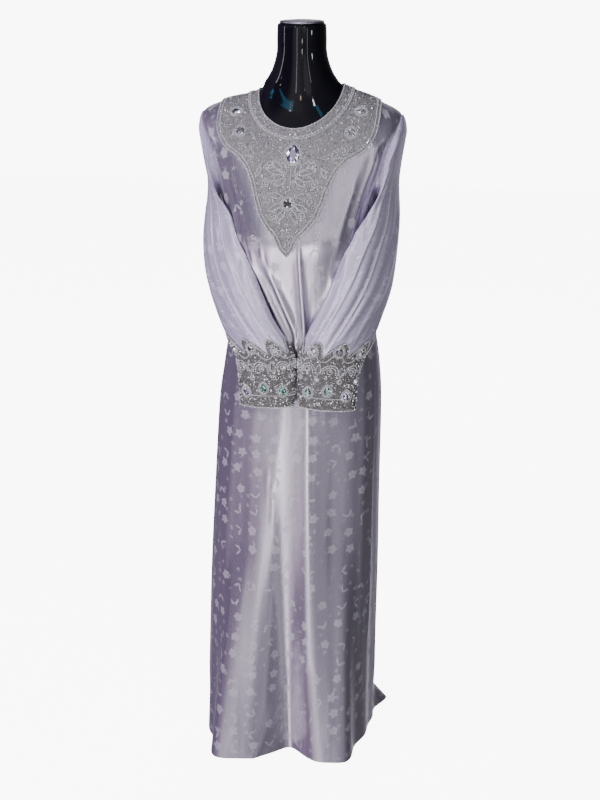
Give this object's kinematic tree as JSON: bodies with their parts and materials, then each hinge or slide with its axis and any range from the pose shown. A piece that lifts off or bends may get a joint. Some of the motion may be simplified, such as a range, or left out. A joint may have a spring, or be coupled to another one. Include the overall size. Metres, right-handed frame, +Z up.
{
  "type": "kaftan dress on a dress form",
  "caption": "Full-length satin kaftan dress with long full sleeves, a beaded yoke and lobed beaded cuffs, worn by a headless gloss-black dress form on a round foot.",
  "frame": {"origin": "centre of the stand's round foot, on the floor", "axes": "+Z up; the front of the dress faces -Y; +X is towards the wearer's left"},
  "size_m": [0.4312, 0.3703, 1.5908],
  "materials": {
    "satin_lilac": "silver-lilac satin with small woven flowers, glossy",
    "beadwork": "silver seed beads and small rhinestones, sewn close together",
    "crystal": "faceted, foil-backed clear stones in pale grey, violet and green",
    "form_gloss_black": "high-gloss black lacquer on fibreglass",
    "cap_metal": "pale satin metal",
    "stand_steel": "brushed"
  },
  "bodies": {
    "root": {"back_panel": "satin_lilac", "beaded_yoke": "beadwork", "cuff_left": "beadwork", "cuff_right": "beadwork", "form_cap": "cap_metal", "form_foot": "stand_steel", "form_pole": "stand_steel", "form_torso": "form_gloss_black", "front_panel": "satin_lilac", "sleeve_left": "satin_lilac", "sleeve_right": "satin_lilac", "stone_cuff_left_lobe_a": "crystal", "stone_cuff_left_lobe_b": "crystal", "stone_cuff_left_lobe_c": "crystal", "stone_cuff_left_row_a": "crystal", "stone_cuff_left_row_b": "crystal", "stone_cuff_left_row_c": "crystal", "stone_cuff_right_lobe_a": "crystal", "stone_cuff_right_lobe_b": "crystal", "stone_cuff_right_lobe_c": "crystal", "stone_cuff_right_row_a": "crystal", "stone_cuff_right_row_b": "crystal", "stone_cuff_right_row_c": "crystal", "stone_yoke_inner_left": "crystal", "stone_yoke_inner_right": "crystal", "stone_yoke_lower_round": "crystal", "stone_yoke_outer_left": "crystal", "stone_yoke_outer_right": "crystal", "stone_yoke_upper_drop": "crystal"}
  },
  "joints": []
}
